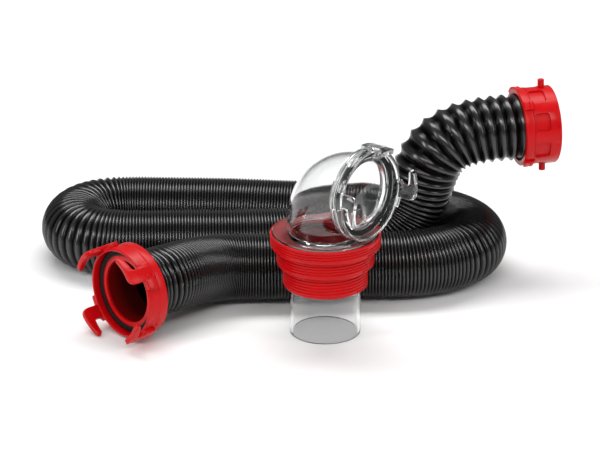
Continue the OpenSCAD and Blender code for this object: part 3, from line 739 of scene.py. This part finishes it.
for height, radius in [
        (EDGE / 2, SPIGOT_R), (SPIGOT_STRAIGHT, SPIGOT_R), (SPIGOT_LEN - TAPER_LEN, NECK_R),
        (NECK_SNAP_Z, NECK_R), (NECK_SNAP_Z, NECK_R - GROOVE),
        (NECK_SNAP_Z + SNAP_T, NECK_R - GROOVE), (NECK_SNAP_Z + SNAP_T, NECK_R),
        (DISC_Z, NECK_R), (DISC_Z, DISC_R - EDGE / 2), (DISC_Z + EDGE / 2, DISC_R),
        (DISC_Z + DISC_T - EDGE, DISC_R), (DISC_Z + DISC_T, DISC_R - EDGE),
        (DISC_Z + DISC_T, NECK_R + 1), (DISC_Z + DISC_T + LIP_ROUND, NECK_R + LIP_ROUND),
        (DISC_Z + DISC_T + 1, NECK_R), (SWELL_Z, SWELL_R), (BEND_Z, BULGE_R)]:
    up(height, radius)
round_the_bend(1)
for back, radius in [
        (SEAT_BACK + BEND_LEAD, BULGE_R), (SEAT_BACK + 1, SEAT_R), (SEAT_BACK, SEAT_R),
        (SEAT_BACK, SEAT_R - GROOVE), (SNAP_S, SEAT_R - GROOVE), (SNAP_S, SEAT_R),
        (FLANGE_S + FLANGE_T, SEAT_R), (FLANGE_S + FLANGE_T, FLANGE_R), (FLANGE_S, FLANGE_R),
        (FLANGE_S, SEAT_R), (GASKET_S + LIP_ROUND, SEAT_R), (GASKET_S, SEAT_R - LIP_ROUND),
        (GASKET_S, BORE_R + LIP_ROUND), (GASKET_S + LIP_ROUND, BORE_R), (LIP_END_S, BORE_R),
        (SEAT_BACK + BEND_LEAD, BULGE_R - WALL), (ELBOW_RIM - BEND_R, BULGE_R - WALL)]:
    out(back, radius)
round_the_bend(-1)
for height, radius in [
        (SWELL_Z, SWELL_R - WALL), (SPIGOT_LEN - TAPER_LEN, NECK_R - WALL),
        (SPIGOT_STRAIGHT, SPIGOT_R - WALL), (0, SPIGOT_R - WALL), (0, SPIGOT_R - EDGE / 2)]:
    up(height, radius)
bpy.ops.mesh.select_all(action="SELECT")
bpy.ops.mesh.remove_doubles(threshold=1e-6)
bpy.ops.mesh.normals_make_consistent(inside=False)
bpy.ops.object.mode_set(mode="OBJECT")
fitted(elbow, elbow_stand, clear_plastic, "elbow", "clear_plastic",
       "elbow_spigot", "elbow_flange", "elbow_bend")

elbow_rim_place = elbow_stand @ stood(Vector((ELBOW_RIM, 0, AXIS_Z)) * MM, 0)
fitted(face_gasket("elbow_washer"), elbow_rim_place, black_rubber,
       "elbow", "gasket_rubber", "elbow_gasket")

# ---------------------------------------------------------------------------
# Clear swivel ring. It is moulded in the same clear plastic as the elbow, and
# three hooks show on its rim.
# ---------------------------------------------------------------------------
ELBOW_RING_LEN, ELBOW_HOOK_TURNS = 15.0, [90, 180, 0]
clear_ring = ring_with_hooks("clear_swivel_ring", ELBOW_RING_LEN, 0, ELBOW_HOOK_TURNS)
fitted(clear_ring, elbow_rim_place, clear_plastic, "elbow_swivel", "clear_plastic",
       "elbow_ring", "elbow_hooks")

# ---------------------------------------------------------------------------
# Threaded adapter. A red stepped moulding with three sizes of pipe thread,
# the smallest lowest; it hangs under the elbow's clear flange and turns there.
# ---------------------------------------------------------------------------
STEP_R, STEP_H, STEP_TURNS = [45.6, 52.5, 59.0], [25.0, 20.0, 15.0], [6, 5, 3]
THREAD_DEPTH, ADAPTER_WALL, FLOOR_T, PLAIN_RIM, RIM_STEP = 1.1, 2.2, 3.0, 2.4, 0.4
FOOT_CHAMFER, STEP_CHAMFER, LEDGE = 1.2, 0.6, 2.0
THREAD_START, THREAD_SINK, TOP_RUN_OUT, RUN_OUT = 0.8, 0.2, 1.2, 1.6
FLANK_START, FLANK_STOP, THREAD_STOP = 0.26, 0.56, 0.84
step_z = [SPIGOT_LEN, SPIGOT_LEN + STEP_H[0], SPIGOT_LEN + STEP_H[0] + STEP_H[1]]
root = [r - THREAD_DEPTH for r in STEP_R]
inside = [r - ADAPTER_WALL for r in root]
web_in = NECK_R + RING_PLAY
adapter = turned("threaded_adapter", [
    (web_in, step_z[0]), (root[0] - FOOT_CHAMFER, step_z[0]), (root[0], step_z[0] + FOOT_CHAMFER),
    (root[0], step_z[1]), (root[1] - STEP_CHAMFER, step_z[1]), (root[1], step_z[1] + STEP_CHAMFER),
    (root[1], step_z[2]), (root[2] - STEP_CHAMFER, step_z[2]), (root[2], step_z[2] + STEP_CHAMFER),
    (root[2], ADAPTER_TOP - PLAIN_RIM - RIM_STEP), (STEP_R[2], ADAPTER_TOP - PLAIN_RIM),
    (STEP_R[2], ADAPTER_TOP - EDGE), (STEP_R[2] - EDGE, ADAPTER_TOP),
    (DISC_R + RING_PLAY, ADAPTER_TOP), (DISC_R + RING_PLAY, WEB_TOP), (web_in, WEB_TOP),
    (web_in, WEB_TOP - WEB_THICK), (inside[2], WEB_TOP - WEB_THICK), (inside[2], step_z[2] + LEDGE),
    (inside[1], step_z[2]), (inside[1], step_z[1] + LEDGE), (inside[0], step_z[1]),
    (inside[0], step_z[0] + FLOOR_T), (web_in, step_z[0] + FLOOR_T)], steps=128)
softened(adapter, 0.3)
ridges = []
for start, height, turns, foot in zip(step_z, STEP_H, STEP_TURNS, root):
    rise = height - (PLAIN_RIM + TOP_RUN_OUT if foot == root[2] else RUN_OUT)
    pitch = rise / (turns + 1)
    low = start + THREAD_START
    ridge = drawn("thread", [
        (foot - THREAD_SINK, low), (foot + THREAD_DEPTH, low + pitch * FLANK_START),
        (foot + THREAD_DEPTH, low + pitch * FLANK_STOP),
        (foot - THREAD_SINK, low + pitch * THREAD_STOP)])
    bpy.ops.object.mode_set(mode="OBJECT")
    apply_modifier(ridge, "SCREW", angle=2 * pi, screw_offset=pitch * MM, iterations=turns,
                   axis="Z", steps=96, render_steps=96, use_normal_calculate=True)
    bpy.ops.object.mode_set(mode="EDIT")
    bpy.ops.mesh.select_all(action="SELECT")
    bpy.ops.mesh.remove_doubles(threshold=1e-6)
    bpy.ops.mesh.fill_holes(sides=0)
    bpy.ops.mesh.select_all(action="SELECT")
    bpy.ops.mesh.normals_make_consistent(inside=False)
    bpy.ops.object.mode_set(mode="OBJECT")
    ridges.append(ridge)
joined(adapter, *ridges)
fitted(adapter, elbow_stand, red_plastic, "adapter", "red_plastic", "thread_adapter")

# ---------------------------------------------------------------------------
# Hidden rings. Seals at the hose ends and snap rings behind the webs keep
# their shapes, and take the rubber or the plastic of what they sit in.
# ---------------------------------------------------------------------------
for name, material in [("inlet_hose_seal", black_rubber), ("outlet_hose_seal", black_rubber),
                       ("inlet_snap_ring", black_rubber), ("neck_o_ring", black_rubber),
                       ("elbow_snap_ring", clear_plastic), ("adapter_snap_ring", clear_plastic)]:
    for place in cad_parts[name].material_slots:
        place.material = material

# ---------------------------------------------------------------------------
# Ground and light. A plain pale floor in a soft studio.
# ---------------------------------------------------------------------------
bpy.ops.object.select_all(action="DESELECT")
bpy.ops.mesh.primitive_plane_add(size=14, location=(0, 0, -0.0005))
floor = bpy.context.object
floor.name = "floor"
floor.data.materials.append(finish_of("pale_floor", (0.90, 0.90, 0.90), 0.7)[0])

world = bpy.data.worlds.new("studio")
world.use_nodes = True
world.node_tree.nodes["Background"].inputs["Color"].default_value = (1, 1, 1, 1)
world.node_tree.nodes["Background"].inputs["Strength"].default_value = 0.26
bpy.context.scene.world = world
bpy.context.scene.view_settings.view_transform = "Standard"


def softbox(name, place, target, size, power):
    """A rectangular soft light at a place, turned to a target."""
    data = bpy.data.lights.new(name, "AREA")
    data.shape = "RECTANGLE"
    data.size, data.size_y = size
    data.energy = power
    lamp = bpy.data.objects.new(name, data)
    lamp.location = place
    lamp.rotation_euler = (Vector(target) - Vector(place)).to_track_quat("-Z", "Y").to_euler()
    bpy.context.scene.collection.objects.link(lamp)


softbox("top_light", (0, 0.9, 2.5), (0, 0.5, 0), (3.0, 1.0), 62)
softbox("left_light", (-1.7, -0.9, 1.0), (0, 0, 0.05), (0.4, 1.2), 12)
softbox("right_light", (1.7, -0.7, 1.1), (0, 0, 0.05), (0.4, 1.2), 9)
softbox("front_light", (0, -1.9, 1.9), (0, 0, 0.05), (2.4, 0.5), 32)
